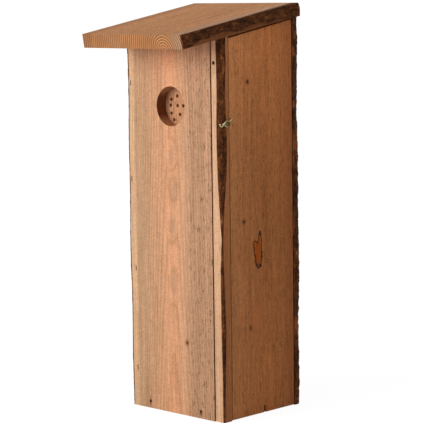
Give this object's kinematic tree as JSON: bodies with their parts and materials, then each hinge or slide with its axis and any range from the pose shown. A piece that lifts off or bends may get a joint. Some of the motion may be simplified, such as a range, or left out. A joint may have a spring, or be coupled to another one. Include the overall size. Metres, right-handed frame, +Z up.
{
  "type": "woodpecker nest box",
  "caption": "Tall nest box of sawn boards with bark edges, a sloping roof, a plugged round entrance and a side door on pivot nails with a wire turn hook.",
  "frame": {"origin": "middle of the overall footprint, on the ground", "axes": "+Z up, the front face with the entrance towards -Y, the side door towards +X"},
  "size_m": [0.185, 0.2156, 0.5172],
  "materials": {
    "front_board": "rough sawn larch, reddish, open grain",
    "side_board": "rough sawn larch, darker brown",
    "roof_board": "sawn larch with visible end grain",
    "blank_wood": "pale planed softwood",
    "bark": "dark rough bark",
    "steel": "dull weathered steel",
    "yellow_zinc": "pale yellow zinc plate"
  },
  "bodies": {
    "frame": {"front_panel": "front_board", "front_bark": "bark", "left_side_panel": "side_board", "back_panel": "side_board", "back_bark_right": "bark", "back_bark_left": "bark", "floor_board": "side_board", "roof_board": "roof_board", "roof_bark_strip": "bark", "corner_strip": "front_board", "corner_bark": "bark", "entrance_blank": "blank_wood", "front_pivot_nail": "steel", "rear_pivot_nail": "steel", "hook_screw": "yellow_zinc", "front_staples": "steel", "front_floor_nails": "steel", "strip_brads": "steel", "blank_brads": "steel", "left_floor_nails": "steel", "back_side_nails": "steel", "back_floor_nails": "steel", "roof_brads": "steel"},
    "door": {"side_door": "side_board"},
    "hook": {"turn_hook": "yellow_zinc"}
  },
  "joints": [
    {"name": "door_swing", "type": "hinge", "parent": "frame", "child": "door", "pos_m": [0.0687, 0, 0.44628], "axis": [0, -1, 0], "range_deg": [0, 100]},
    {"name": "hook_turn", "type": "hinge", "parent": "frame", "child": "hook", "pos_m": [0.0813, -0.0302, 0.372], "axis": [1, 0, 0], "range_deg": [0, 90]}
  ]
}
